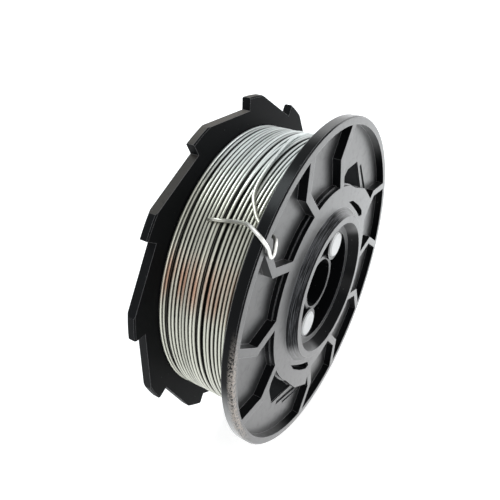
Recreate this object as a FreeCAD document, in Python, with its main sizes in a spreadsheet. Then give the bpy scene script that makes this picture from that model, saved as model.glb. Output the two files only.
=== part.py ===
"""Spool of rebar tie wire: a black moulded spool, wound with thin steel wire.

The spool stands on its two flanges with its axis level, along Y.  The round flange faces -Y, the
ratchet-toothed flange faces +Y and +Z is up.  The origin is under the middle of the spool's width,
at the floor.  Every size is in millimetres and every angle in degrees.  Angles around the axis are
counted from +X towards +Z, as seen when facing the round flange.
"""
import FreeCAD
import Part
import math
import os
import Sketcher
from FreeCAD import Vector

doc = FreeCAD.newDocument("TieWireSpool")

# ---------------------------------------------------------------- driving dimensions
SIZES = {
    # flanges
    "flange_radius": 50.0,          # round flange, outside
    "flange_thick": 3.3,            # round flange, rim to inner face
    "flange_gap": 25.0,             # clear width between the flanges
    "toothed_thick": 2.7,
    "tooth_tip_radius": 51.2,
    "tooth_root_radius": 47.6,
    "tooth_count": 12,
    "tooth_start": 78.75,           # angle of the first steep tooth face
    "tooth_tip_width": 7.5,         # angle that the top of a tooth covers
    "edge_break": 0.35,             # small bevel on the flanges' rims
    # hub, as seen from the round side
    "boss_height": 2.6,
    "boss_base_radius": 24.1,
    "boss_lip_radius": 22.1,
    "well_mouth_radius": 20.2,
    "ledge_radius": 18.7,
    "ledge_depth": 0.6,
    "well_radius": 16.9,
    "hub_wall": 2.1,
    "end_wall": 2.7,                # closed end of the well, at the toothed side
    "spindle_radius": 7.6,
    "spindle_wall": 1.2,
    "spindle_drop": 2.0,            # mouth of the spindle tube below the round flange's face
    # posts and their plugs
    "post_distance": 12.7,
    "post_radius": 4.9,
    "post_drop": 1.0,
    "post_angle": 42.75,
    "plug_radius": 3.9,
    "plug_length": 7.0,
    "plug_proud": 0.45,
    "plug_edge": 0.4,
    # drum
    "drum_radius": 31.0,
    "drum_wall": 2.2,
    "core_rib_count": 6,
    "core_rib_thick": 2.0,
    # relief in the round flange's face
    "hub_plate_radius": 30.5,
    "pocket_outer_radius": 47.8,
    "pocket_depth": 2.5,
    "step_depth": 1.2,
    "step_width": 0.45,
    "rib_thick": 2.6,
    "rib_knee_radius": 39.2,
    "rib_pitch": 30.0,
    "rib_first": 75.75,             # angle of the first rib's knee
    "rib_hub_lag": 5.7,             # a rib's hub end lags its knee by this angle
    "rib_rim_lag": 6.3,
    "rib_hub_root": 1.0,            # how far a rib runs in under the hub plate
    "rib_rim_root": 0.8,            # and into the rim
    "plate_angle": 42.75,           # middle of the wide pocket without a rib
    "sunk_panel_depth": 0.4,        # below the pocket floor
    "anchor_hole_radius": 0.8,
    "anchor_distance": 43.8,
    "anchor_angle": 125.1,
    # wire
    "wire_diameter": 1.0,
    "winding_radius": 42.8,
    "winding_clearance": 0.1,
}

sheet = doc.addObject("Spreadsheet::Sheet", "Sizes")
for row, (alias, value) in enumerate(SIZES.items(), start=1):
    sheet.set(f"A{row}", alias)
    sheet.set(f"B{row}", str(value))
    sheet.setAlias(f"B{row}", alias)
doc.recompute()


def size(alias):
    """A driving dimension, read back from the sheet."""
    return float(sheet.get(alias))


# ---------------------------------------------------------------- places along the axis, as expressions
OVERALL = "(Sizes.boss_height + Sizes.flange_thick + Sizes.flange_gap + Sizes.toothed_thick)"
FACE_Y = f"(Sizes.boss_height - {OVERALL} / 2)"
INNER_ROUND_Y = f"({FACE_Y} + Sizes.flange_thick)"
INNER_TOOTHED_Y = f"({INNER_ROUND_Y} + Sizes.flange_gap)"
OUTER_TOOTHED_Y = f"({OVERALL} / 2)"
WELL_FLOOR_Y = f"({OUTER_TOOTHED_Y} - Sizes.end_wall)"

# The spool rests on the two tooth corners nearest to straight down, level on both sides.
TOOTH_PITCH = "(360 / Sizes.tooth_count)"
REST_HALF_ANGLE = f"(({TOOTH_PITCH} - Sizes.tooth_tip_width) / 2)"
AXIS_Z = f"(Sizes.tooth_tip_radius * cos({REST_HALF_ANGLE} * 1 deg))"

face_y = size("boss_height") - (size("boss_height") + size("flange_thick") + size("flange_gap")
                                + size("toothed_thick")) / 2
rest_half_angle = (360 / size("tooth_count") - size("tooth_tip_width")) / 2
axis_z = size("tooth_tip_radius") * math.cos(math.radians(rest_half_angle))


# ---------------------------------------------------------------- helpers for bodies and sketches
def new_body(name):
    """A body modelled about the spool's axis, then lifted to the height of that axis."""
    body = doc.addObject("PartDesign::Body", name)
    body.Label = name
    body.setExpression("Placement.Base.z", f"{AXIS_Z} * 1 mm")
    return body


def plane_of(body, role):
    return next(item for item in body.Origin.OriginFeatures if item.Role == role)


def face_sketch(body, name, along_y):
    """A sketch square to the spool's axis, at a place along Y; its own X is +X and its Y is +Z."""
    sketch = body.newObject("Sketcher::SketchObject", name)
    sketch.AttachmentSupport = [(plane_of(body, "XZ_Plane"), "")]
    sketch.MapMode = "FlatFace"
    sketch.setExpression("AttachmentOffset.Base.z", f"-({along_y}) * 1 mm")
    return sketch


def evaluate(expression):
    """The present value of an expression of the sheet."""
    return float(sheet.evalExpression(expression.replace("Sizes.", "")))


def fix_point(sketch, edge, end, across, up):
    """Hold a point of the sketch by two dimensions bound to the sheet."""
    for kind, expression in (("DistanceX", across), ("DistanceY", up)):
        index = sketch.addConstraint(Sketcher.Constraint(kind, -1, 1, edge, end, evaluate(expression)))
        sketch.setExpression(f"Constraints[{index}]", expression)


def draw_outline(sketch, corners):
    """A closed outline of straight edges through corners given as (across, up) expressions."""
    points = [Vector(evaluate(across), evaluate(up), 0) for across, up in corners]
    for index, point in enumerate(points):
        sketch.addGeometry(Part.LineSegment(point, points[(index + 1) % len(points)]))
    for index, (across, up) in enumerate(corners):
        sketch.addConstraint(Sketcher.Constraint("Coincident", index, 2, (index + 1) % len(points), 1))
        fix_point(sketch, index, 1, across, up)


def draw_circle(sketch, radius, distance, angle):
    across, up = polar(distance, angle)
    centre = Vector(evaluate(across), evaluate(up), 0)
    edge = sketch.addGeometry(Part.Circle(centre, Vector(0, 0, 1), evaluate(radius)))
    fix_point(sketch, edge, 3, across, up)
    index = sketch.addConstraint(Sketcher.Constraint("Radius", edge, evaluate(radius)))
    sketch.setExpression(f"Constraints[{index}]", radius)


def polar(distance, angle):
    """Across and up expressions of a point at a distance and an angle around the axis."""
    return f"({distance}) * cos({angle})", f"({distance}) * sin({angle})"


def beside(distance, angle, shift):
    """A point shifted sideways, along the circle, from one at a distance and an angle."""
    return polar(distance, f"{angle} + ({shift}) / ({distance}) * 180 / pi")


def raise_outline(body, sketch, name, length):
    """Pad a face sketch towards +Y."""
    pad = body.newObject("PartDesign::Pad", name)
    pad.Profile = sketch
    pad.Reversed = True
    pad.setExpression("Length", f"({length}) * 1 mm")
    return pad


def sink_outline(body, sketch, name, depth):
    """Pocket a face sketch towards +Y."""
    pocket = body.newObject("PartDesign::Pocket", name)
    pocket.Profile = sketch
    pocket.setExpression("Length", f"({depth}) * 1 mm")
    return pocket


def repeat_around(body, feature, count, sweep):
    """Repeat a feature around the spool's axis; count and sweep are expressions."""
    pattern = body.newObject("PartDesign::PolarPattern", f"{feature.Name}_around")
    pattern.Originals = [feature]
    pattern.Axis = (feature.Profile[0], ["N_Axis"])
    pattern.setExpression("Occurrences", count)
    pattern.setExpression("Angle", f"({sweep}) * 1 deg")
    body.Tip = pattern
    return pattern


# ---------------------------------------------------------------- the moulded spool
def turn_spool(body):
    """The turned shape: spindle tube, well, boss, round flange, drum and toothed flange."""
    bevel = "Sizes.edge_break"
    floor = f"{FACE_Y} + Sizes.pocket_depth"
    step = f"{FACE_Y} + Sizes.step_depth"
    step_edge = "Sizes.hub_plate_radius + Sizes.step_width"
    tube = "Sizes.spindle_radius + Sizes.spindle_wall"
    tube_mouth = f"{FACE_Y} + Sizes.spindle_drop"
    ledge = f"{FACE_Y} + Sizes.ledge_depth"
    lip = f"{FACE_Y} - Sizes.boss_height"
    core_inner = "Sizes.well_radius + Sizes.hub_wall"
    core_outer = "Sizes.drum_radius - Sizes.drum_wall"
    profile = [
        ("Sizes.spindle_radius", tube_mouth), (tube, tube_mouth),
        (tube, WELL_FLOOR_Y), ("Sizes.well_radius", WELL_FLOOR_Y),
        ("Sizes.well_radius", ledge), ("Sizes.ledge_radius", ledge),
        ("Sizes.well_mouth_radius", lip), ("Sizes.boss_lip_radius", lip),
        ("Sizes.boss_base_radius", FACE_Y), ("Sizes.hub_plate_radius", FACE_Y),
        ("Sizes.hub_plate_radius", step), (step_edge, step),
        (step_edge, floor), ("Sizes.pocket_outer_radius", floor),
        ("Sizes.pocket_outer_radius", FACE_Y), (f"Sizes.flange_radius - {bevel}", FACE_Y),
        ("Sizes.flange_radius", f"{FACE_Y} + {bevel}"),
        ("Sizes.flange_radius", f"{INNER_ROUND_Y} - {bevel}"),
        (f"Sizes.flange_radius - {bevel}", INNER_ROUND_Y),
        ("Sizes.drum_radius", INNER_ROUND_Y), ("Sizes.drum_radius", INNER_TOOTHED_Y),
        (f"Sizes.tooth_tip_radius - {bevel}", INNER_TOOTHED_Y),
        ("Sizes.tooth_tip_radius", f"{INNER_TOOTHED_Y} + {bevel}"),
        ("Sizes.tooth_tip_radius", f"{OUTER_TOOTHED_Y} - {bevel}"),
        (f"Sizes.tooth_tip_radius - {bevel}", OUTER_TOOTHED_Y),
        (core_outer, OUTER_TOOTHED_Y), (core_outer, INNER_ROUND_Y),
        (core_inner, INNER_ROUND_Y), (core_inner, OUTER_TOOTHED_Y),
        ("Sizes.spindle_radius", OUTER_TOOTHED_Y),
    ]
    sketch = body.newObject("Sketcher::SketchObject", "spool_profile")
    sketch.AttachmentSupport = [(plane_of(body, "XY_Plane"), "")]
    sketch.MapMode = "FlatFace"
    draw_outline(sketch, profile)
    turned = body.newObject("PartDesign::Revolution", "turned_spool")
    turned.Profile = sketch
    turned.ReferenceAxis = (sketch, ["V_Axis"])
    turned.Angle = 360


def cut_teeth(body):
    """Ratchet teeth: from each tip a straight ramp falls to the foot of the next steep face."""
    tip_end = "Sizes.tooth_start - Sizes.tooth_tip_width"
    next_steep = f"Sizes.tooth_start - {TOOTH_PITCH}"
    beyond = "Sizes.tooth_tip_radius * 1.1"
    sketch = face_sketch(body, "tooth_gap", INNER_TOOTHED_Y)
    draw_outline(sketch, [
        polar("Sizes.tooth_tip_radius", tip_end),
        polar(beyond, tip_end),
        polar(beyond, next_steep),
        polar("Sizes.tooth_root_radius", next_steep),
    ])
    gap = sink_outline(body, sketch, "tooth_gap_cut", "Sizes.toothed_thick")
    repeat_around(body, gap, "Sizes.tooth_count", "360")


def add_ribs(body, group):
    """Five bent ribs across the ring-shaped recess, from the hub plate to the rim."""
    first = f"(Sizes.rib_first + {group} * 180)"
    inner = "(Sizes.hub_plate_radius - Sizes.rib_hub_root)"
    outer = "(Sizes.pocket_outer_radius + Sizes.rib_rim_root)"
    bends = [(inner, f"{first} - Sizes.rib_hub_lag"),
             ("Sizes.rib_knee_radius", first),
             (outer, f"{first} - Sizes.rib_rim_lag")]
    one_side = [beside(distance, angle, "-Sizes.rib_thick / 2") for distance, angle in bends]
    other_side = [beside(distance, angle, "Sizes.rib_thick / 2") for distance, angle in reversed(bends)]
    sketch = face_sketch(body, f"rib_{group}", FACE_Y)
    draw_outline(sketch, one_side + other_side)
    rib = raise_outline(body, sketch, f"rib_pad_{group}", "Sizes.pocket_depth")
    repeat_around(body, rib, "5", "Sizes.rib_pitch * 4")


# Outlines in a wide pocket: (distance beyond the hub plate's edge, angle from the pocket's middle).
HUB_CORNER = [(-1.5, 25), (-0.1, 22), (3.2, -11), (6, -27), (-1.5, -30)]
SUNK_PANEL = [(0.5, 17), (4.5, 13), (8.1, 3.2), (4.5, -18.3), (3.3, -11), (1.2, -2), (0.5, 5)]
INNER_SLOT = [(8.9, -3), (7.8, -2.4), (6.1, -22), (7.6, -24.2)]
OUTER_SLOT = [(9.6, -10.5), (8.7, -10), (8.7, -26.5), (9.5, -27.5)]
BOSS_SLOT = [(-4.6, 10), (-3.6, 2), (-2.5, -12), (-1.3, -22), (-1.7, -26), (-3.7, -23), (-4.6, -12), (-5.0, -2)]


def around_plate(group, points):
    """Corners of an outline about the middle of a wide pocket; group 1 is mirrored."""
    middle = f"Sizes.plate_angle + {group} * 180"
    hand = -1 if group else 1
    return [polar(f"Sizes.hub_plate_radius + {out}", f"{middle} + {hand * turn}") for out, turn in points]


def shape_wide_pocket(body, group):
    """The hub's straight-sided corner, the sunk panel with its slots and the slot beside the boss."""
    corner = face_sketch(body, f"hub_corner_{group}", FACE_Y)
    draw_outline(corner, around_plate(group, HUB_CORNER))
    raise_outline(body, corner, f"hub_corner_pad_{group}", "Sizes.pocket_depth")
    floor = f"{FACE_Y} + Sizes.pocket_depth"
    sunk = {"sunk_panel": SUNK_PANEL, "inner_slot": INNER_SLOT}
    if group == 1:
        sunk["outer_slot"] = OUTER_SLOT
    for name, outline in sunk.items():
        sketch = face_sketch(body, f"{name}_{group}", floor)
        draw_outline(sketch, around_plate(group, outline))
        sink_outline(body, sketch, f"{name}_cut_{group}", "Sizes.sunk_panel_depth")
    crescent = face_sketch(body, f"boss_slot_{group}", FACE_Y)
    draw_outline(crescent, around_plate(group, BOSS_SLOT))
    sink_outline(body, crescent, f"boss_slot_cut_{group}", "Sizes.pocket_depth")


def add_posts(body):
    """Two posts in the well, each with a socket that takes its plug, from the plug's front face."""
    mouth = f"{FACE_Y} + Sizes.post_drop"
    plug_front = f"{mouth} - Sizes.plug_proud"
    post = face_sketch(body, "post", mouth)
    draw_circle(post, "Sizes.post_radius", "Sizes.post_distance", "Sizes.post_angle")
    pad = raise_outline(body, post, "post_pad", f"{WELL_FLOOR_Y} - ({mouth})")
    repeat_around(body, pad, "2", "360")
    socket = face_sketch(body, "plug_socket", plug_front)
    draw_circle(socket, "Sizes.plug_radius", "Sizes.post_distance", "Sizes.post_angle")
    cut = sink_outline(body, socket, "plug_socket_cut", "Sizes.plug_length")
    repeat_around(body, cut, "2", "360")


def add_core_ribs(body):
    """Webs between the hub and the drum, in the hollow that opens at the toothed side."""
    inner = "Sizes.well_radius + Sizes.hub_wall / 2"
    outer = "Sizes.drum_radius - Sizes.drum_wall / 2"
    half = "Sizes.core_rib_thick / 2"
    web = face_sketch(body, "core_rib", INNER_ROUND_Y)
    draw_outline(web, [(inner, f"-{half}"), (outer, f"-{half}"), (outer, half), (inner, half)])
    pad = raise_outline(body, web, "core_rib_pad", "Sizes.flange_gap")
    repeat_around(body, pad, "Sizes.core_rib_count", "360")


def make_spool():
    body = new_body("spool")
    turn_spool(body)
    cut_teeth(body)
    for group in (0, 1):
        add_ribs(body, group)
    for group in (0, 1):
        shape_wide_pocket(body, group)
    add_posts(body)
    add_core_ribs(body)
    anchor = face_sketch(body, "anchor_hole", FACE_Y)
    draw_circle(anchor, "Sizes.anchor_hole_radius", "Sizes.anchor_distance", "Sizes.anchor_angle")
    sink_outline(body, anchor, "anchor_hole_cut", "Sizes.flange_thick")
    return body


# ---------------------------------------------------------------- the plugs
def make_plug(name, angle):
    """A white plug pressed into one post, its edge broken at the front."""
    body = new_body(name)
    front = f"{FACE_Y} + Sizes.post_drop - Sizes.plug_proud"
    disc = face_sketch(body, f"{name}_disc", front)
    draw_circle(disc, "Sizes.plug_radius", "Sizes.post_distance", angle)
    pad = raise_outline(body, disc, f"{name}_pad", "Sizes.plug_length")
    doc.recompute()
    front_y = evaluate(front)
    rim = next(number for number, edge in enumerate(pad.Shape.Edges, start=1)
               if edge.Closed and abs(edge.CenterOfMass.y - front_y) < 1e-6)
    break_edge = body.newObject("PartDesign::Chamfer", f"{name}_edge")
    break_edge.Base = (pad, [f"Edge{rim}"])
    break_edge.setExpression("Size", "Sizes.plug_edge * 1 mm")
    return body


# ---------------------------------------------------------------- the wire
wire_radius = size("wire_diameter") / 2
END_REST = 0.1      # how far a loose end stands off the turns it lies on
RIM_REST = 0.35     # off the round flange's rim
FACE_REST = 0.2     # off the round flange's face


def make_feature(name, shape):
    feature = doc.addObject("Part::Feature", name)
    feature.Label = name
    feature.Shape = shape
    feature.Placement = FreeCAD.Placement(Vector(0, 0, axis_z), FreeCAD.Rotation())
    return feature


def half_rounds(start, finish, count, outward):
    """A row of touching half-round bumps from start to finish, bulging towards outward."""
    step = (finish - start) / count
    bulge = outward * (step.Length / 2)
    edges = []
    for turn in range(count):
        here = start + step * turn
        edges.append(Part.Arc(here, here + step / 2 + bulge, here + step).toShape())
    return edges


def make_winding():
    """The wound wire as one turned solid: every outer turn and end turn shows as a half-round."""
    bore = size("drum_radius") + size("winding_clearance")
    outer = size("winding_radius") - wire_radius
    near = face_y + size("flange_thick") + size("winding_clearance") + wire_radius
    far = near + size("flange_gap") - 2 * size("winding_clearance") - 2 * wire_radius
    turns = max(1, round((far - near) / size("wire_diameter")))
    layers = max(1, round((outer - bore) / size("wire_diameter")))
    corners = [Vector(bore, near, 0), Vector(outer, near, 0), Vector(outer, far, 0), Vector(bore, far, 0)]
    edges = half_rounds(corners[0], corners[1], layers, Vector(0, -1, 0))
    edges += half_rounds(corners[1], corners[2], turns, Vector(1, 0, 0))
    edges += half_rounds(corners[2], corners[3], layers, Vector(0, 1, 0))
    edges.append(Part.LineSegment(corners[3], corners[0]).toShape())
    section = Part.Face(Part.Wire(edges))
    return make_feature("wire_winding", section.revolve(Vector(0, 0, 0), Vector(0, 1, 0), 360))


def at(depth, distance, angle):
    """A point at a depth behind the round flange's face, a distance from the axis and an angle."""
    turn = math.radians(angle)
    return Vector(distance * math.cos(turn), face_y + depth, distance * math.sin(turn))


def bent_wire(name, points):
    """A round wire along straight runs joined by the largest arcs that the runs leave room for."""
    path = []
    start = points[0]
    for before, corner, after in zip(points, points[1:], points[2:]):
        back, on = before - corner, after - corner
        turn = math.pi - back.getAngle(on)
        shorter = min(back.Length, on.Length)
        setback = 0.45 * shorter
        entry = corner + Vector(back).normalize() * setback
        leave = corner + Vector(on).normalize() * setback
        inward = (Vector(back).normalize() + Vector(on).normalize()).normalize()
        radius = setback / math.tan(turn / 2)
        middle = corner + inward * (radius / math.cos(turn / 2) - radius)
        path.append(Part.LineSegment(start, entry).toShape())
        path.append(Part.Arc(entry, middle, leave).toShape())
        print(name, "bend radius", round(radius, 2))
        start = leave
    path.append(Part.LineSegment(start, points[-1]).toShape())
    spine = Part.Wire(path)
    section = Part.Wire(Part.Circle(points[0], points[1] - points[0], wire_radius).toShape())
    solid = spine.makePipeShell([section], True, False)
    expected = math.pi * wire_radius ** 2 * spine.Length
    print(name, "length", round(spine.Length, 1), "volume ratio", round(solid.Volume / expected, 4))
    return make_feature(name, solid)


def make_hooked_end():
    """One end of the wire: over the round flange's rim, bent back and into the anchor hole.

    It lies on the turns, passes over the rim, runs in along the flange's face, makes a narrow U and
    goes down the hole.  Angles are counted from the hole, heights from what the wire passes.
    """
    on_winding = size("winding_radius") + wire_radius + END_REST
    over_rim = size("flange_radius") + wire_radius + RIM_REST
    on_face = -(wire_radius + FACE_REST)
    back_of_flange = size("flange_thick")
    hole, hole_angle = size("anchor_distance"), size("anchor_angle")
    return bent_wire("wire_end_hooked", [
        at(23.6, on_winding, hole_angle - 3.6),
        at(17.8, on_winding + 0.25, hole_angle + 0.2),
        at(back_of_flange + 0.1, over_rim + 0.3, hole_angle + 2.3),
        at(0.1, over_rim + 0.35, hole_angle + 3.0),
        at(on_face - 0.35, over_rim - 1.0, hole_angle + 4.0),
        at(on_face, hole + 3.6, hole_angle + 5.6),
        at(on_face, hole + 1.2, hole_angle + 5.4),
        at(on_face, hole + 0.6, hole_angle + 2.6),
        at(0.6, hole + 0.1, hole_angle + 0.2),
        at(back_of_flange - 0.2, hole, hole_angle),
    ])


def make_tucked_end():
    """The other end: it leaves the turns in a curve and slips in behind the round flange."""
    on_winding = size("winding_radius") + wire_radius + END_REST
    behind_rim = size("flange_thick") + wire_radius + END_REST
    return bent_wire("wire_end_tucked", [
        at(12.2, on_winding, 94.0),
        at(12.2, on_winding + 0.1, 101.0),
        at(11.9, on_winding + 0.2, 107.5),
        at(11.0, on_winding + 0.2, 113.5),
        at(9.0, on_winding + 0.2, 118.5),
        at(6.4, on_winding + 0.1, 122.0),
        at(behind_rim, on_winding, 124.2),
    ])


# ---------------------------------------------------------------- build, test and write
pieces = [
    make_spool(),
    make_plug("marker_plug_upper", "Sizes.post_angle"),
    make_plug("marker_plug_lower", "(Sizes.post_angle + 180)"),
    make_winding(),
    make_hooked_end(),
    make_tucked_end(),
]
doc.recompute()

for item in doc.Objects:
    if "Invalid" in item.State or "Error" in item.State:
        raise RuntimeError(f"{item.Name} failed: {item.State}")
for piece in pieces:
    if piece.Shape.isNull() or not piece.Shape.isValid():
        raise RuntimeError(f"{piece.Label} has no valid shape")

os.makedirs("parts", exist_ok=True)
for piece in pieces:
    piece.Shape.exportStep(f"parts/{piece.Label}.step")
    box = piece.Shape.BoundBox
    print(piece.Label, "volume", round(piece.Shape.Volume), "solids", len(piece.Shape.Solids),
          "box", [round(value, 2) for value in (box.XMin, box.XMax, box.YMin, box.YMax, box.ZMin, box.ZMax)])
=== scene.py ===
"""Spool of rebar tie wire: finish of the moulded spool, its wound wire, loose wire ends and plugs.

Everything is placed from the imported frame, in metres.  The spool's axis runs along Y at the height
AXIS.  A place on the spool is given by its depth behind the round flange's face, its distance from
the axis and its angle around the axis, counted from +X towards +Z.
"""
import math

import bpy
import numpy as np
from mathutils import Matrix, Vector


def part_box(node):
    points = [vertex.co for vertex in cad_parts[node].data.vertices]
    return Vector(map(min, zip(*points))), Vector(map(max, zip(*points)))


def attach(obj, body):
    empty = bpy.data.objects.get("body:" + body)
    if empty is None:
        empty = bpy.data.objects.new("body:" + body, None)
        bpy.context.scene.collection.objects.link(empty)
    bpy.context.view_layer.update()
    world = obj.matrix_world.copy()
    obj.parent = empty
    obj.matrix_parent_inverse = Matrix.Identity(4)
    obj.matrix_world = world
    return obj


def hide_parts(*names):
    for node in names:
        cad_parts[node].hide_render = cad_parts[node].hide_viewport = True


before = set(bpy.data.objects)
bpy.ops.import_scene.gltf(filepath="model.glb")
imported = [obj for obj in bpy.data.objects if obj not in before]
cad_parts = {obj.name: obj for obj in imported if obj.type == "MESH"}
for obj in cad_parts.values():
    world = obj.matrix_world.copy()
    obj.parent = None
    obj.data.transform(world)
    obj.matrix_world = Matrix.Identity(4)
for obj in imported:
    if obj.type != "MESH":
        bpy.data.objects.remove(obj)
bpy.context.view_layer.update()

MM = 0.001

# ---------------------------------------------------------------- places read from the frame
wound_low, wound_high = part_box("wire_winding")
AXIS = float(wound_low[2] + wound_high[2]) / 2
WOUND_RADIUS = float(wound_high[0] - wound_low[0]) / 2
BOSS_HEIGHT = 2.6 * MM                # the hub's boss stands this far in front of the flange's face
FACE = float(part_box("spool")[0][1]) + BOSS_HEIGHT
WOUND_NEAR = float(wound_low[1]) - FACE
WOUND_FAR = float(wound_high[1]) - FACE

# ---------------------------------------------------------------- places on the moulded spool
BOSS_DISTANCES = (20.3 * MM, 24.3 * MM)
BOSS_DEPTHS = (-2.3 * MM, 0.4 * MM)
RIM_DISTANCES = (48.4 * MM, 51.0 * MM)
RIM_DEPTHS = (-1.0 * MM, 1.1 * MM)
CHIPPED_ANGLES = (160.0, 196.0)       # the round rim's lower left
PANEL_DISTANCES = (30.8 * MM, 47.2 * MM)
PANEL_DEPTHS = (2.75 * MM, 3.2 * MM)  # sunk below the floor of the pockets, which is 2.5 mm deep
SLOT_DISTANCES = (23.5 * MM, 30.3 * MM)
SLOT_DEPTHS = (0.4 * MM, 3.2 * MM)
TOOTHED_DEPTH = 28.0 * MM             # the toothed flange lies behind this
FADE = 0.2 * MM                       # the width over which one finish gives way to the next
EDGE_RADIUS = 0.22 * MM               # how far an edge is rounded, and how wide its painted highlight is

# ---------------------------------------------------------------- the wire
WIRE = 0.5 * MM                       # its radius
CORE_INNER = 31.1 * MM                # just clear of the drum
CORE_DROP = 3.0 * MM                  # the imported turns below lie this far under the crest
WALL_REST = 1.05 * WIRE               # centre lines keep this far from the winding's two ends
LEAST_PITCH = 1.03 * MM               # neighbouring turns are never closer than this
GAP_SKEW = 2.2                        # above 1, a few gaps are wide and the rest are narrow
HIGH_AND_LOW = 0.12 * MM              # how much a turn rides above or below the others
WAVE = 0.08 * MM                      # how much a turn wanders along the axis
SLIP = 0.16                           # the share of a turn over which it slips to the next place
NEAR_SHARE = 0.45                     # turns in this share of the width slip where the near ones do
RUN_ON = 0.93                         # turns that a layer runs on past its first and last places
DIVE = 0.07                           # the part of a turn over which an end dives under the others
DIVE_DEPTH = 2.6 * WIRE
WINDING_SEED = 12
# where the winding's front and lower side is painted darker, as olive shade
OLIVE_SHADE_ANGLES = (106.0, 240.0)
# where a warm reflection is painted onto the winding
WARM_REFLECTION_ANGLES = (141.0, 156.0)
GREASED_DEPTHS = (5.0 * MM, 17.0 * MM)  # where a loose end turns from bright to greased

# name, drop below the crest, turns, start of the slip on the near and far turns, stations a turn, sides
LAYERS = (("wire_turns_outer", 0.12 * MM, 19, (0.15, 0.62), 170, 12),
          ("wire_turns_under", 1.00 * MM, 20, (0.13, 0.55), 130, 8),
          ("wire_turns_inner", 1.90 * MM, 21, (0.70, 0.75), 110, 6))

# The routes of the two loose ends: depth and distance in millimetres, angle in degrees.
HOOKED_ROUTE = ((20.6, 41.5, 126.2), (19.9, 42.4, 126.2), (18.8, 43.2, 126.0), (16.0, 43.4, 125.4),
                (12.5, 44.5, 124.9), (8.3, 46.9, 125.1), (4.8, 49.8, 126.1), (2.4, 50.85, 127.3),
                (0.7, 51.0, 128.3), (-0.55, 49.7, 129.5), (-0.75, 47.9, 130.5), (-0.85, 45.9, 131.6),
                (-0.7, 44.9, 130.6), (-0.35, 45.1, 127.6), (0.6, 44.4, 125.9), (1.8, 43.9, 125.2),
                (3.1, 43.8, 125.1))
TUCKED_ROUTE = ((15.6, 42.2, 62.0), (13.6, 43.0, 80.0), (12.4, 43.35, 92.0), (12.0, 43.4, 100.0),
                (11.85, 43.4, 106.0), (11.6, 43.4, 111.0), (10.75, 43.4, 115.1), (9.2, 43.4, 118.3),
                (7.1, 43.4, 121.7), (5.2, 43.3, 123.4), (3.9, 43.2, 124.2))

# Metres of pattern to a degree round the axis: small, so that a pattern runs on along a ring or wire.
RING_STRETCH = 0.000012
STREAK_STRETCH = 0.0004
WARM_REFLECTION_STRETCH = 0.00006

# ---------------------------------------------------------------- colours, with their opacity
JET = (0.0045, 0.005, 0.0056, 1)
SOFT_BLACK = (0.0085, 0.009, 0.010, 1)
# grey of the painted highlight along the moulding's edges
EDGE_HIGHLIGHT_GREY = (0.42, 0.42, 0.43, 1)
TURNED_GREY = (0.24, 0.245, 0.26, 1)
SPECK_GREY = (0.25, 0.25, 0.25, 1)
CHIP_BROWN = (0.30, 0.22, 0.17, 1)
CHIP_WHITE = (0.76, 0.73, 0.69, 1)
# dust, and painted sheen, on faces that turn straight up
DUST_AND_SHEEN = (0.22, 0.20, 0.18, 1)
BRIGHT_WIRE = ((0.62, 0.62, 0.59, 1), (0.80, 0.80, 0.77, 1))
GREASED_WIRE = (0.34, 0.335, 0.285, 1)
DRAWN_STEEL = ((0.60, 0.65, 0.645, 1), (0.86, 0.91, 0.90, 1))
OLIVE_SHADE = (0.50, 0.495, 0.41, 1)
WARM_REFLECTION = (0.47, 0.25, 0.16, 1)
# painted shade between and under the turns
GAP_SHADE = (0.012, 0.013, 0.012, 1)
PLUG_WHITE = ((0.80, 0.81, 0.81, 1), (0.86, 0.865, 0.86, 1))
WHITE = (1, 1, 1, 1)


def on_spool(depth, distance, angle):
    """Points at depths behind the face, distances from the axis and angles in degrees."""
    turn = np.radians(np.asarray(angle, float))
    depth, distance, turn = np.broadcast_arrays(np.asarray(depth, float), distance, turn)
    return np.stack([distance * np.cos(turn), FACE + depth, AXIS + distance * np.sin(turn)], axis=-1)


# ---------------------------------------------------------------- meshes
def new_piece(name, vertices, quads, material, caps=()):
    """A smooth-shaded mesh object from arrays of points and quads, with flat caps if it has any."""
    mesh = bpy.data.meshes.new(name)
    mesh.from_pydata(vertices.reshape(-1, 3).tolist(), [],
                     quads.reshape(-1, 4).tolist() + [cap.tolist() for cap in caps])
    mesh.shade_smooth()
    mesh.materials.append(material)
    piece = bpy.data.objects.new(name, mesh)
    bpy.context.scene.collection.objects.link(piece)
    return piece


def ring_quads(stations, sides, joined=False):
    """Quads between neighbouring rings of points; a joined row's last ring meets its first."""
    ring = np.arange(stations if joined else stations - 1)[:, None]
    side = np.arange(sides)[None, :]
    after = (side + 1) % sides
    here = ring * sides
    on = (ring + 1) % stations * sides
    return np.stack([here + side, here + after, on + after, on + side], -1)


def end_caps(stations, sides):
    """The first ring turned round and the last ring, as two flat faces."""
    ring = np.arange(sides)
    return ring[::-1], ring + (stations - 1) * sides


def round_tube(name, path, across, upward, material, sides, radius=WIRE):
    """A closed tube: each ring is path + radius * (cos u * across + sin u * upward), u once round."""
    u = np.linspace(0, 2 * math.pi, sides, endpoint=False)[None, :, None]
    rings = path[:, None] + radius * (np.cos(u) * across[:, None] + np.sin(u) * upward[:, None])
    return new_piece(name, rings, ring_quads(len(path), sides), material, end_caps(len(path), sides))


def wound_tube(name, depth, distance, angle, material, sides):
    """A wire round the axis: its rings lie between the outward line and the line along the axis."""
    turn = np.radians(angle)
    outward = np.stack([np.cos(turn), np.zeros_like(turn), np.sin(turn)], -1)
    along = np.broadcast_to([0.0, 1.0, 0.0], outward.shape)
    return round_tube(name, on_spool(depth, distance, angle), outward, along, material, sides)


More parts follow.
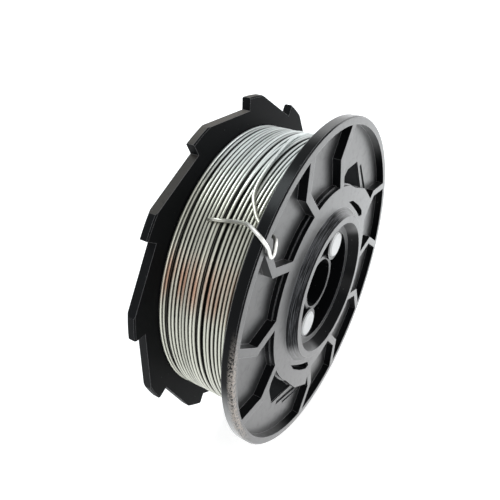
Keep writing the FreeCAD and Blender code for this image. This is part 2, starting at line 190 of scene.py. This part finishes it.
def smooth_route(points, stations):
    """A curve through points: a natural cubic in the distance run, one per coordinate."""
    run = np.concatenate([[0], np.cumsum(np.linalg.norm(np.diff(points, axis=0), axis=1))])
    gaps = np.diff(run)
    count = len(points)
    matrix = np.eye(count)
    right = np.zeros_like(points)
    inside = np.arange(1, count - 1)
    matrix[inside, inside - 1] = gaps[:-1]
    matrix[inside, inside] = 2 * (gaps[:-1] + gaps[1:])
    matrix[inside, inside + 1] = gaps[1:]
    slopes = np.diff(points, axis=0) / gaps[:, None]
    right[1:-1] = 6 * (slopes[1:] - slopes[:-1])
    bend = np.linalg.solve(matrix, right)
    at = np.linspace(0, run[-1], stations)
    span = np.clip(np.searchsorted(run, at, side="right") - 1, 0, count - 2)
    size = gaps[span][:, None]
    a = (run[span + 1] - at)[:, None] / size
    b = 1 - a
    return (a * points[span] + b * points[span + 1]
            + ((a ** 3 - a) * bend[span] + (b ** 3 - b) * bend[span + 1]) * size ** 2 / 6)


def loose_end(name, route, material, stations=220, sides=16):
    """A round wire along a smooth route, its rings carried from one station to the next unturned."""
    depth, distance, angle = np.array(route).T
    path = smooth_route(on_spool(depth * MM, distance * MM, angle), stations)
    forward = np.gradient(path, axis=0)
    forward /= np.linalg.norm(forward, axis=1, keepdims=True)
    side = np.cross(forward[0], [0.0, 0.0, 1.0])
    sideways = np.zeros_like(path)
    for station, ahead in enumerate(forward):
        side = side - ahead * side.dot(ahead)
        side /= np.linalg.norm(side)
        sideways[station] = side
    radius = np.full(stations, WIRE)
    radius[[0, -1]] *= 0.05           # both tips are rounded off
    radius[[1, -2]] *= 0.8
    return round_tube(name, path, sideways, np.cross(forward, sideways), material, sides,
                      radius[:, None, None])


# ---------------------------------------------------------------- node helpers
class Graph:
    """Adds nodes to a tree and links them, one call each."""

    def __init__(self, tree):
        self.tree = tree

    def feed(self, socket, value):
        """Links a socket's value, or sets a plain one."""
        if isinstance(value, bpy.types.NodeSocket):
            self.tree.links.new(value, socket)
        else:
            socket.default_value = value

    def add(self, kind, settings=None, **inputs):
        """A node with its settings; inputs go by name, with _ for a space, or as i0, i1 by place."""
        node = self.tree.nodes.new(kind)
        for key, value in (settings or {}).items():
            setattr(node, key, value)
        for key, value in inputs.items():
            by_place = key[0] == "i" and key[1:].isdigit()
            self.feed(node.inputs[int(key[1:])] if by_place else node.inputs[key.replace("_", " ")], value)
        return node

    def math(self, operation, a, b=0.0, clamp=False):
        """One step of arithmetic, held between 0 and 1 if it is clamped."""
        return self.add("ShaderNodeMath", {"operation": operation, "use_clamp": clamp}, i0=a, i1=b).outputs[0]

    def ramp(self, value, low, high, bottom=0.0, top=1.0, smooth=True):
        """bottom up to low and top from high on, with an eased or a straight rise between them."""
        easing = "SMOOTHSTEP" if smooth else "LINEAR"
        return self.add("ShaderNodeMapRange", {"interpolation_type": easing}, i0=value, i1=low, i2=high,
                        i3=bottom, i4=top).outputs[0]

    def band(self, value, limits, soft=FADE):
        """1 where value lies between the limits, fading over soft on both sides."""
        low, high = limits
        return self.math("MULTIPLY", self.ramp(value, low - soft, low + soft),
                         self.ramp(value, high - soft, high + soft, 1.0, 0.0))

    def noise(self, vector, scale, detail=3.0, roughness=0.55):
        """Fine noise about 0.5 at a point, with scale features to the metre."""
        return self.add("ShaderNodeTexNoise", None, Vector=vector, Scale=scale, Detail=detail,
                        Roughness=roughness).outputs["Fac"]

    def mix(self, factor, a, b):
        """Colour a where factor is 0 and colour b where it is 1."""
        return self.add("ShaderNodeMix", {"data_type": "RGBA"}, i0=factor, i6=a, i7=b).outputs[2]

    def spread(self, value, amount, base):
        """base plus amount times value, held between 0 and 1."""
        return self.math("ADD", self.math("MULTIPLY", value, amount), base, clamp=True)


def new_group(name, inputs, outputs):
    """An empty group with its sockets, its graph, and its input and output nodes."""
    group = bpy.data.node_groups.new(name, "ShaderNodeTree")
    for label, kind, default in inputs:
        socket = group.interface.new_socket(label, in_out="INPUT", socket_type=kind)
        if default is not None:
            socket.default_value = default
    for label, kind in outputs:
        group.interface.new_socket(label, in_out="OUTPUT", socket_type=kind)
    graph = Graph(group)
    return group, graph, graph.add("NodeGroupInput"), graph.add("NodeGroupOutput")


def make_round_axis_group():
    """Object point -> distance from the axis, angle round it (0 to 360) and depth behind the face."""
    group, graph, given, out = new_group("round_the_axis", [("Point", "NodeSocketVector", None)],
                                         [("Distance", "NodeSocketFloat"), ("Angle", "NodeSocketFloat"),
                                          ("Depth", "NodeSocketFloat")])
    x, y, z = graph.add("ShaderNodeSeparateXYZ", None, Vector=given.outputs["Point"]).outputs
    height = graph.math("SUBTRACT", z, AXIS)
    squared = graph.math("ADD", graph.math("MULTIPLY", x, x), graph.math("MULTIPLY", height, height))
    below = graph.math("MULTIPLY", graph.math("LESS_THAN", height, 0.0), 360.0)
    turn = graph.math("ADD", graph.math("DEGREES", graph.math("ARCTAN2", height, x)), below)
    graph.feed(out.inputs["Distance"], graph.math("SQRT", squared))
    graph.feed(out.inputs["Angle"], turn)
    graph.feed(out.inputs["Depth"], graph.math("SUBTRACT", y, FACE))
    return group


def make_fine_wear_group():
    """Fine mottling for any surface: a soft large cloud and a fine grain, both 0 to 1, and a bump."""
    group, graph, given, out = new_group("fine_wear", [("Point", "NodeSocketVector", None),
                                                       ("Cloud scale", "NodeSocketFloat", 60.0),
                                                       ("Grain scale", "NodeSocketFloat", 2500.0)],
                                         [("Cloud", "NodeSocketFloat"), ("Grain", "NodeSocketFloat"),
                                          ("Normal", "NodeSocketVector")])
    cloud = graph.noise(given.outputs["Point"], given.outputs["Cloud scale"])
    grain = graph.noise(given.outputs["Point"], given.outputs["Grain scale"], detail=2.0)
    bump = graph.add("ShaderNodeBump", None, Strength=0.25, Distance=0.04 * MM, Height=grain)
    graph.feed(out.inputs["Cloud"], cloud)
    graph.feed(out.inputs["Grain"], grain)
    graph.feed(out.inputs["Normal"], bump.outputs[0])
    return group


ROUND_AXIS = make_round_axis_group()
FINE_WEAR = make_fine_wear_group()


def new_material(name):
    """A material with its graph, its Principled shader and the object point."""
    material = bpy.data.materials.new(name)
    material.use_nodes = True
    material.node_tree.nodes.clear()
    graph = Graph(material.node_tree)
    shader = graph.add("ShaderNodeBsdfPrincipled")
    graph.add("ShaderNodeOutputMaterial", None, Surface=shader.outputs[0])
    point = graph.add("ShaderNodeTexCoord").outputs["Object"]
    return material, graph, shader, point


def place_group(graph, group, **inputs):
    """The outputs of a group placed in a material with its own values."""
    return graph.add("ShaderNodeGroup", {"node_tree": group}, **inputs).outputs


# ---------------------------------------------------------------- masks on the black moulding
def turned_boss(graph, distance, angle, depth):
    """Where the boss is, and the fine rings that are turned into it and into the well's mouth."""
    boss = graph.math("MULTIPLY", graph.band(distance, BOSS_DISTANCES, 0.3 * MM),
                      graph.band(depth, BOSS_DEPTHS))
    along = graph.add("ShaderNodeCombineXYZ", None, X=distance, Y=depth,
                      Z=graph.math("MULTIPLY", angle, RING_STRETCH))
    lines = graph.noise(along.outputs[0], scale=4200.0, detail=2.0, roughness=0.7)
    rings = graph.ramp(lines, 0.46, 0.66, smooth=False)
    return boss, graph.math("MULTIPLY", rings, boss)


def chipped_rim(graph, point, distance, angle, depth):
    """Chips where the round rim has been dragged."""
    rim = graph.math("MULTIPLY", graph.band(distance, RIM_DISTANCES, 0.4 * MM),
                     graph.band(depth, RIM_DEPTHS, 0.6 * MM))
    stretch = graph.math("MULTIPLY", rim, graph.band(angle, CHIPPED_ANGLES, 9.0))
    chips = graph.math("GREATER_THAN", graph.noise(point, scale=1500.0, detail=4.0, roughness=0.8), 0.48)
    return graph.math("MULTIPLY", stretch, chips)


def painted_edge_highlight(graph, rounded, plain):
    """A painted highlight where the surface turns away from its rounded self, within the edge radius."""
    agree = graph.add("ShaderNodeVectorMath", {"operation": "DOT_PRODUCT"}, i0=rounded, i1=plain)
    return graph.ramp(agree.outputs["Value"], 0.995, 0.90, smooth=False)


def dust_and_painted_sheen(graph, point, plain, toothed):
    """Patchy dust with a painted sheen that lightens the toothed flange's edges where they face straight up.
    """
    upward = graph.add("ShaderNodeSeparateXYZ", None, Vector=plain).outputs["Z"]
    settled = graph.ramp(upward, 0.90, 0.99, smooth=False)
    patches = graph.ramp(graph.noise(point, scale=260.0, detail=4.0, roughness=0.7), 0.26, 0.46)
    return graph.math("MULTIPLY", graph.math("MULTIPLY", settled, toothed), patches)


def matt_places(graph, distance, depth, toothed):
    """Sunk panels and the slots beside the boss are matt, and the toothed flange is half so."""
    panels = graph.math("MULTIPLY", graph.band(depth, PANEL_DEPTHS, 0.1 * MM),
                        graph.band(distance, PANEL_DISTANCES))
    slots = graph.math("MULTIPLY", graph.band(depth, SLOT_DEPTHS), graph.band(distance, SLOT_DISTANCES))
    return graph.math("MAXIMUM", graph.math("MAXIMUM", panels, slots), graph.math("MULTIPLY", toothed, 0.5))


# ---------------------------------------------------------------- finishes
def make_black_plastic():
    """Black satin moulding: dark seen straight on, grey at a slant, chipped where it is handled, with a
    painted highlight along its edges and dust with painted sheen on the toothed flange's upward faces.
    """
    material, graph, shader, point = new_material("black_moulded_plastic")
    distance, angle, depth = place_group(graph, ROUND_AXIS, Point=point)
    wear = place_group(graph, FINE_WEAR, Point=point)
    plain = graph.add("ShaderNodeNewGeometry").outputs["Normal"]
    rounded = graph.add("ShaderNodeBevel", {"samples": 6}, Radius=EDGE_RADIUS).outputs[0]
    toothed = graph.ramp(depth, TOOTHED_DEPTH - FADE, TOOTHED_DEPTH + FADE)

    boss, rings = turned_boss(graph, distance, angle, depth)
    chipped = chipped_rim(graph, point, distance, angle, depth)
    chip_colour = graph.mix(graph.noise(point, scale=2600.0, detail=2.0), CHIP_BROWN, CHIP_WHITE)
    specks = graph.math("GREATER_THAN", graph.noise(point, scale=2400.0, detail=0.0), 0.86)
    # edge: a painted highlight along every rounded edge
    edge = painted_edge_highlight(graph, rounded, plain)
    # dust with a painted sheen where the toothed flange faces straight up
    upward_dust_and_sheen = dust_and_painted_sheen(graph, point, plain, toothed)
    matt = matt_places(graph, distance, depth, toothed)

    colour = graph.mix(wear["Cloud"], JET, SOFT_BLACK)
    for mask, strength, tint in ((edge, 0.55, EDGE_HIGHLIGHT_GREY), (rings, 0.6, TURNED_GREY),
                                 (specks, 0.5, SPECK_GREY), (chipped, 1.0, chip_colour),
                                 (upward_dust_and_sheen, 0.6, DUST_AND_SHEEN)):
        colour = graph.mix(graph.math("MULTIPLY", mask, strength), colour, tint)
    graph.feed(shader.inputs["Base Color"], colour)

    rough = graph.spread(wear["Cloud"], 0.10, 0.18)
    for mask, more in ((boss, 0.12), (chipped, 0.4), (matt, 0.7)):
        rough = graph.math("ADD", rough, graph.math("MULTIPLY", mask, more), clamp=True)
    graph.feed(shader.inputs["Roughness"], rough)

    # the satin skin shows at a slant, unevenly, and is missing where the moulding is matt or chipped
    facing = graph.add("ShaderNodeLayerWeight", None, Blend=0.5).outputs["Facing"]
    mottle = graph.spread(graph.noise(point, scale=420.0, detail=5.0, roughness=0.7), 0.9, 0.55)
    skin = graph.math("MULTIPLY", graph.ramp(facing, 0.42, 0.60), mottle)
    bare = graph.math("MAXIMUM", chipped, graph.math("MULTIPLY", matt, 2.2, clamp=True), clamp=True)
    graph.feed(shader.inputs["Coat Weight"], graph.math("MULTIPLY", skin, graph.math("SUBTRACT", 1.0, bare)))
    shader.inputs["Coat Roughness"].default_value = 0.40
    shader.inputs["Coat IOR"].default_value = 1.88
    shader.inputs["IOR"].default_value = 1.15

    height = graph.math("ADD", graph.math("MULTIPLY", rings, 0.5),
                        graph.math("MULTIPLY", wear["Grain"], 0.12))
    bump = graph.add("ShaderNodeBump", None, Strength=0.35, Distance=0.08 * MM, Height=height, Normal=rounded)
    graph.feed(shader.inputs["Normal"], bump.outputs[0])
    return material


def loose_steel(graph, cloud, depth):
    """Bright wire at the flange, greased and duller where it lies on the turns."""
    bright = graph.mix(cloud, *BRIGHT_WIRE)
    return graph.mix(graph.ramp(depth, *GREASED_DEPTHS, top=0.75), bright, GREASED_WIRE)


def wound_steel(graph, streaks, distance, angle, depth):
    """Drawn steel with painted olive shade on its front and lower side, a painted warm reflection that
    differs by turn, and painted shade between turns below a painted highlight on each crest.
    """
    steel = graph.mix(streaks, *DRAWN_STEEL)
    # painted shade: the winding's front and lower side darkened towards olive
    olive_shade = graph.math("MULTIPLY", graph.band(angle, OLIVE_SHADE_ANGLES, 14.0), 0.85)
    steel = graph.mix(olive_shade, steel, OLIVE_SHADE)
    # painted reflection: a warm brown tint on a stretch of the winding, patchy from turn to turn
    by_turn = graph.add("ShaderNodeCombineXYZ", None, X=graph.math("MULTIPLY", angle, WARM_REFLECTION_STRETCH), Y=depth)
    reflection_patches = graph.noise(by_turn.outputs[0], scale=700.0, detail=1.0)
    marked = graph.ramp(reflection_patches, 0.36, 0.60, bottom=0.15, smooth=False)
    warm_reflection = graph.math("MULTIPLY", graph.band(angle, WARM_REFLECTION_ANGLES, 6.0), marked)
    steel = graph.mix(graph.math("MULTIPLY", warm_reflection, 0.8), steel, WARM_REFLECTION)
    # painted shade and highlight: dark below each crest, between turns, on the layers beneath and on the
    # core; bright along the crest
    crest = graph.ramp(distance, WOUND_RADIUS - 1.15 * WIRE, WOUND_RADIUS - 0.22 * WIRE, bottom=0.10)
    return graph.mix(crest, GAP_SHADE, steel)


def make_tie_wire(name, loose):
    """Drawn steel wire, streaked along its length, as a loose end or as the wound turns."""
    material, graph, shader, point = new_material(name)
    distance, angle, depth = place_group(graph, ROUND_AXIS, Point=point)
    wear = place_group(graph, FINE_WEAR, Point=point, Cloud_scale=220.0, Grain_scale=3500.0)
    along = graph.add("ShaderNodeCombineXYZ", None, X=graph.math("MULTIPLY", angle, STREAK_STRETCH),
                      Y=depth, Z=distance)
    streaks = graph.noise(along.outputs[0], scale=900.0)
    if loose:
        steel = loose_steel(graph, wear["Cloud"], depth)
    else:
        steel = wound_steel(graph, streaks, distance, angle, depth)
    graph.feed(shader.inputs["Base Color"], steel)
    graph.feed(shader.inputs["Roughness"], graph.spread(streaks, 0.16, 0.26))
    graph.feed(shader.inputs["Normal"], wear["Normal"])
    shader.inputs["Metallic"].default_value = 0.85
    return material


def make_white_plastic():
    """Satin white moulding with a faint mottle."""
    material, graph, shader, point = new_material("white_plastic")
    wear = place_group(graph, FINE_WEAR, Point=point, Cloud_scale=300.0)
    graph.feed(shader.inputs["Base Color"], graph.mix(wear["Cloud"], *PLUG_WHITE))
    graph.feed(shader.inputs["Roughness"], graph.spread(wear["Cloud"], 0.1, 0.35))
    graph.feed(shader.inputs["Normal"], wear["Normal"])
    return material


black_plastic = make_black_plastic()
wound_wire = make_tie_wire("tie_wire_steel", loose=False)
pale_wire = make_tie_wire("tie_wire_end", loose=True)
white_plastic = make_white_plastic()


# ---------------------------------------------------------------- the wound wire
def turn_places(first, last, pitches, rng):
    """Where each turn lies along the axis: gaps of uneven width that fill first to last."""
    gaps = rng.uniform(0.0, 1.0, pitches) ** GAP_SKEW
    gaps = LEAST_PITCH + gaps / gaps.sum() * (last - first - LEAST_PITCH * pitches)
    return first + np.concatenate([[0], np.cumsum(gaps)])


def wind_layer(name, drop, turns, slip_starts, stations, sides, rng):
    """One layer of turns as a single tube.

    The wire runs round at one place and slips to the next place over a stretch of each turn:
    depth = place + smooth step of (share of the turn - start) times the gap to the next place.  It
    runs on past the first and last places for most of a turn, and both its ends dive under the turns.
    """
    near = WOUND_NEAR + WALL_REST
    far = WOUND_FAR - WALL_REST
    places = turn_places(near, far, turns, rng)
    turned = np.linspace(-RUN_ON, turns + RUN_ON, int((turns + 2 * RUN_ON) * stations))
    index = np.clip(np.floor(turned).astype(int), 0, turns - 1)
    share = np.clip(turned - index, 0, 1)
    near_side = places[index] < near + NEAR_SHARE * (far - near)
    start = np.where(near_side, *slip_starts) + 0.03 * np.sin(5.0 * index)
    slip = np.clip((share - start) / SLIP, 0, 1)
    slip = slip * slip * (3 - 2 * slip)
    wander = WAVE * np.sin(2 * math.pi * (2.3 * turned) + 3.1 * np.sin(turned))
    depth = places[index] + slip * (places[index + 1] - places[index]) + wander
    lift = np.interp(turned, np.arange(turns + 2), rng.normal(0, HIGH_AND_LOW, turns + 2))
    from_end = np.minimum(turned - turned[0], turned[-1] - turned) / DIVE
    dive = np.clip(1 - from_end, 0, 1) ** 2 * DIVE_DEPTH
    distance = WOUND_RADIUS - WIRE - drop + lift - dive
    return wound_tube(name, np.clip(depth, near, far), distance, 360.0 * turned, wound_wire, sides)


def make_core():
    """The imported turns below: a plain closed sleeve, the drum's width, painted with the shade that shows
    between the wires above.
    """
    radius = WOUND_RADIUS - CORE_DROP
    angle = np.arange(0, 360, 2.0)
    corners = ((WOUND_NEAR, CORE_INNER), (WOUND_NEAR, radius), (WOUND_FAR, radius), (WOUND_FAR, CORE_INNER))
    rings = np.stack([on_spool(depth, distance, angle) for depth, distance in corners], 1)
    return new_piece("wire_core", rings, ring_quads(len(angle), len(corners), joined=True), wound_wire)


winding_rng = np.random.default_rng(WINDING_SEED)
layers = [wind_layer(*layer, winding_rng) for layer in LAYERS]
core = make_core()
hooked_end = loose_end("hooked_end", HOOKED_ROUTE, pale_wire)
tucked_end = loose_end("tucked_end", TUCKED_ROUTE, wound_wire)
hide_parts("wire_winding")
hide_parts("wire_end_hooked")
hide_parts("wire_end_tucked")
for piece in layers + [core, hooked_end, tucked_end]:
    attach(piece, "root")

# ---------------------------------------------------------------- finishes of the moulded pieces
for node, material in (("spool", black_plastic), ("marker_plug_upper", white_plastic),
                       ("marker_plug_lower", white_plastic)):
    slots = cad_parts[node].data.materials
    slots.clear()
    slots.append(material)

# ---------------------------------------------------------------- floor, light and camera
FLOOR_REACH = 3.0
FLOOR_GREY = (0.86, 0.86, 0.86, 1)
FLOOR_GLOW = 0.72                     # lifts the floor to white for the eye, under the lamps
SKY_COLOUR = (0.93, 0.96, 1.0, 1)
SKY_STRENGTH = 0.32

# name, place, width in metres, power in watts, colour
LAMPS = (("key", (0.02, 0.34, 0.78), 0.34, 3.4, (0.90, 0.98, 1.0)),
         ("fill", (-0.55, -0.45, 0.35), 0.35, 0.7, (1.0, 0.99, 0.97)),
         ("front", (0.35, -0.55, 0.25), 0.5, 2.0, (1, 1, 1)))

CAMERA_RIGHT = (0.5279, -0.8463, -0.0709)     # which way the camera's right side points
CAMERA_AHEAD = (0.6315, 0.4470, -0.6336)
CAMERA_PLACE = (-0.1012, FACE - 0.04547, AXIS + 0.10538)
LENS = 36.0                                   # millimetres, as is the sensor's width
NEAREST_SEEN = 5 * MM


def mirrored(graph, paths):
    """1 for rays that a gloss or a clear surface sends on."""
    return graph.math("MAXIMUM", paths["Is Glossy Ray"], paths["Is Transmission Ray"])


def make_floor():
    """A wide pale floor: white to the eye and to reflections, and it keeps the spool's shadow."""
    material = bpy.data.materials.new("pale_floor")
    material.use_nodes = True
    material.node_tree.nodes.clear()
    graph = Graph(material.node_tree)
    matt = graph.add("ShaderNodeBsdfPrincipled", None, Base_Color=FLOOR_GREY, Roughness=0.9)
    paths = graph.add("ShaderNodeLightPath").outputs
    to_the_eye = graph.math("MULTIPLY", paths["Is Camera Ray"], FLOOR_GLOW)
    glow = graph.add("ShaderNodeEmission", None, Color=WHITE,
                     Strength=graph.math("MAXIMUM", mirrored(graph, paths), to_the_eye))
    both = graph.add("ShaderNodeAddShader", None, i0=matt.outputs[0], i1=glow.outputs[0])
    graph.add("ShaderNodeOutputMaterial", None, Surface=both.outputs[0])
    corners = FLOOR_REACH * np.array([[-1, -1, 0], [1, -1, 0], [1, 1, 0], [-1, 1, 0]])
    new_piece("floor", corners, np.array([[0, 1, 2, 3]]), material)


def make_world():
    """White to the eye and in reflections; a dimmer, even sky for the light it sheds."""
    world = bpy.data.worlds.new("plain_sky")
    bpy.context.scene.world = world
    world.use_nodes = True
    world.node_tree.nodes.clear()
    graph = Graph(world.node_tree)
    paths = graph.add("ShaderNodeLightPath").outputs
    seen = graph.math("MAXIMUM", paths["Is Camera Ray"], mirrored(graph, paths))
    sky = graph.add("ShaderNodeBackground", None, Color=SKY_COLOUR, Strength=SKY_STRENGTH)
    white = graph.add("ShaderNodeBackground", None, Color=WHITE, Strength=1.0)
    either = graph.add("ShaderNodeMixShader", None, i0=seen, i1=sky.outputs[0], i2=white.outputs[0])
    graph.add("ShaderNodeOutputWorld", None, Surface=either.outputs[0])


def make_lamp(name, place, width, power, colour):
    """A round soft lamp that points at the middle of the spool."""
    lamp = bpy.data.lights.new(name, "AREA")
    lamp.shape = "DISK"
    lamp.size = width
    lamp.energy = power
    lamp.color = colour
    holder = bpy.data.objects.new(name, lamp)
    holder.location = place
    aim = Vector((0, 0, AXIS)) - Vector(place)
    holder.rotation_euler = aim.to_track_quat("-Z", "Y").to_euler()
    bpy.context.scene.collection.objects.link(holder)


def make_camera():
    """The camera, square to its own right side and looking down on the spool's front left."""
    camera = bpy.data.cameras.new("camera")
    camera.lens = LENS
    camera.sensor_width = LENS
    camera.clip_start = NEAREST_SEEN
    holder = bpy.data.objects.new("camera", camera)
    right = Vector(CAMERA_RIGHT).normalized()
    ahead = Vector(CAMERA_AHEAD)
    ahead = (ahead - right * ahead.dot(right)).normalized()
    turned = Matrix((right, right.cross(ahead), -ahead)).transposed()
    holder.matrix_world = Matrix.Translation(Vector(CAMERA_PLACE)) @ turned.to_4x4()
    bpy.context.scene.collection.objects.link(holder)
    bpy.context.scene.camera = holder


make_floor()
make_world()
for lamp in LAMPS:
    make_lamp(*lamp)
make_camera()
bpy.context.scene.view_settings.view_transform = "Standard"
